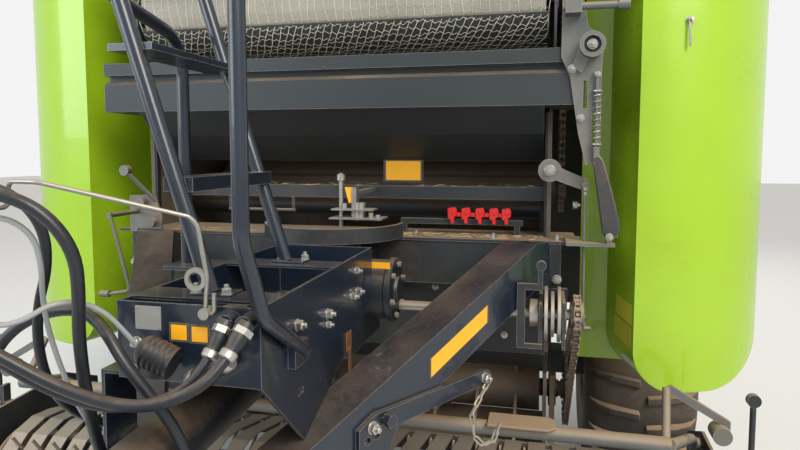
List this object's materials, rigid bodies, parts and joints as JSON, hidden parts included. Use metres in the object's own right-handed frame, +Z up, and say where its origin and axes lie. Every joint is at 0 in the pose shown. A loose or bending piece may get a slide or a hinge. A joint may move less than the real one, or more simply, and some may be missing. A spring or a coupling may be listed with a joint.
{
  "type": "round baler",
  "caption": "Towed round baler with a roller chamber, wide tined pickup, sloping twin-beam drawbar, net tray, side hoods and a rear tailgate raised by cylinders.",
  "frame": {"origin": "on the ground, in the middle of the machine's length and width", "axes": "+Y to the rear, along the length; -Y to the hitch; +X to the viewer's right when the front is looked at; +Z up"},
  "size_m": [2.47, 4.58, 2.5619],
  "materials": {
    "green_paint": "gloss",
    "grey_paint": "satin",
    "dark_paint": "satin",
    "zinc": "satin",
    "steel": "worn",
    "tyre": "matte",
    "rim_paint": "satin",
    "rubber": "matte",
    "net": "matte",
    "red_plastic": "satin",
    "black_plastic": "satin",
    "grey_plastic": "matte",
    "lamp": "gloss"
  },
  "bodies": {
    "frame": {"arc_guard": "grey_paint", "axle": "grey_paint", "cable_coil": "grey_plastic", "cable_plug": "black_plastic", "console": "grey_paint", "couplings": "black_plastic", "cross_beam": "grey_paint", "cross_shaft": "zinc", "drawbar_beams": "grey_paint", "drive_chains": "steel", "front_rollers": "steel", "gearbox": "dark_paint", "grey_lead": "grey_plastic", "handrails": "grey_paint", "hitch_eye": "steel", "hose_a": "rubber", "hose_b": "rubber", "hose_c": "rubber", "hose_end": "zinc", "hose_holder": "zinc", "ladder": "grey_paint", "net_brake": "zinc", "net_feed": "dark_paint", "net_roll": "net", "net_tray": "grey_paint", "net_trip": "zinc", "parking_stand": "zinc", "pto_shaft": "black_plastic", "pulley_bracket": "grey_paint", "red_clips": "red_plastic", "side_levers": "zinc", "side_walls": "grey_paint", "tongue": "grey_paint", "top_frame": "grey_paint"},
    "wheel_right": {"tyre_right": "tyre", "rim_right": "rim_paint"},
    "wheel_left": {"tyre_left": "tyre", "rim_left": "rim_paint"},
    "tailgate": {"gate_walls": "grey_paint", "gate_rollers": "steel", "gate_frame": "grey_paint", "rear_lamps": "lamp", "gate_hood_left": "green_paint", "gate_hood_right": "green_paint"},
    "gate_cylinder_right": {"gate_cylinder_right": "dark_paint"},
    "gate_cylinder_left": {"gate_cylinder_left": "dark_paint"},
    "gate_ram_right": {"gate_ram_right": "zinc"},
    "gate_ram_left": {"gate_ram_left": "zinc"},
    "hood_right": {"hood_right": "green_paint"},
    "hood_left": {"hood_left": "green_paint"},
    "net_lid": {"net_lid": "grey_paint"},
    "pickup": {"pickup_frame": "grey_paint", "pickup_bands": "zinc"},
    "pickup_reel": {"pickup_reel": "steel"},
    "gauge_wheel_right": {"gauge_wheel_right": "rubber"},
    "gauge_wheel_left": {"gauge_wheel_left": "rubber"},
    "crop_guard": {"crop_guard": "zinc"},
    "feed_rotor": {"feed_rotor": "steel"}
  },
  "joints": [
    {"name": "wheel_right_spin", "type": "hinge", "parent": "frame", "child": "wheel_right", "pos_m": [1.005, 1.05, 0.47], "axis": [1, 0, 0], "continuous": true},
    {"name": "wheel_left_spin", "type": "hinge", "parent": "frame", "child": "wheel_left", "pos_m": [-1.005, 1.05, 0.47], "axis": [1, 0, 0], "continuous": true},
    {"name": "tailgate_hinge", "type": "hinge", "parent": "frame", "child": "tailgate", "pos_m": [0, 1.11, 2.52], "axis": [1, 0, 0], "range_deg": [0, 60]},
    {"name": "gate_cylinder_right_pivot", "type": "hinge", "parent": "frame", "child": "gate_cylinder_right", "pos_m": [0.69, 0.89, 1.12], "axis": [1, 0, 0], "range_deg": [-3, 3]},
    {"name": "gate_cylinder_left_pivot", "type": "hinge", "parent": "frame", "child": "gate_cylinder_left", "pos_m": [-0.69, 0.89, 1.12], "axis": [1, 0, 0], "range_deg": [-3, 3]},
    {"name": "gate_ram_right_slide", "type": "slide", "parent": "gate_cylinder_right", "child": "gate_ram_right", "axis": [0, 0.3384, 0.941], "range_m": [0, 0.32139]},
    {"name": "gate_ram_left_slide", "type": "slide", "parent": "gate_cylinder_left", "child": "gate_ram_left", "axis": [0, 0.3384, 0.941], "range_m": [0, 0.32139]},
    {"name": "hood_right_hinge", "type": "hinge", "parent": "frame", "child": "hood_right", "pos_m": [0.706, 0.65, 2.47], "axis": [0, -1, 0], "range_deg": [0, 75]},
    {"name": "hood_left_hinge", "type": "hinge", "parent": "frame", "child": "hood_left", "pos_m": [-0.706, 0.65, 2.47], "axis": [0, 1, 0], "range_deg": [0, 75]},
    {"name": "net_lid_hinge", "type": "hinge", "parent": "frame", "child": "net_lid", "pos_m": [0, 0.33, 2.42], "axis": [-1, 0, 0], "range_deg": [0, 60]},
    {"name": "pickup_lift", "type": "hinge", "parent": "frame", "child": "pickup", "pos_m": [0, 0.25, 0.62], "axis": [-1, 0, 0], "range_deg": [0, 10]},
    {"name": "pickup_reel_spin", "type": "hinge", "parent": "pickup", "child": "pickup_reel", "pos_m": [0, -0.33, 0.42], "axis": [1, 0, 0], "continuous": true},
    {"name": "gauge_wheel_right_spin", "type": "hinge", "parent": "pickup", "child": "gauge_wheel_right", "pos_m": [1.14, -0.06, 0.14], "axis": [1, 0, 0], "continuous": true},
    {"name": "gauge_wheel_left_spin", "type": "hinge", "parent": "pickup", "child": "gauge_wheel_left", "pos_m": [-1.14, -0.06, 0.14], "axis": [1, 0, 0], "continuous": true},
    {"name": "crop_guard_lift", "type": "hinge", "parent": "pickup", "child": "crop_guard", "pos_m": [0, -0.14, 0.64], "axis": [-1, 0, 0], "range_deg": [0, 8]},
    {"name": "feed_rotor_spin", "type": "hinge", "parent": "frame", "child": "feed_rotor", "pos_m": [0, 0.25, 0.62], "axis": [1, 0, 0], "continuous": true}
  ],
  "couplings": [
    {"joint": "gate_cylinder_right_pivot", "follows": "tailgate_hinge", "ratio": -0.014207},
    {"joint": "gate_cylinder_left_pivot", "follows": "tailgate_hinge", "ratio": -0.014207},
    {"joint": "gate_ram_right_slide", "follows": "tailgate_hinge", "m_per_rad": 0.3069},
    {"joint": "gate_ram_left_slide", "follows": "tailgate_hinge", "m_per_rad": 0.3069}
  ]
}
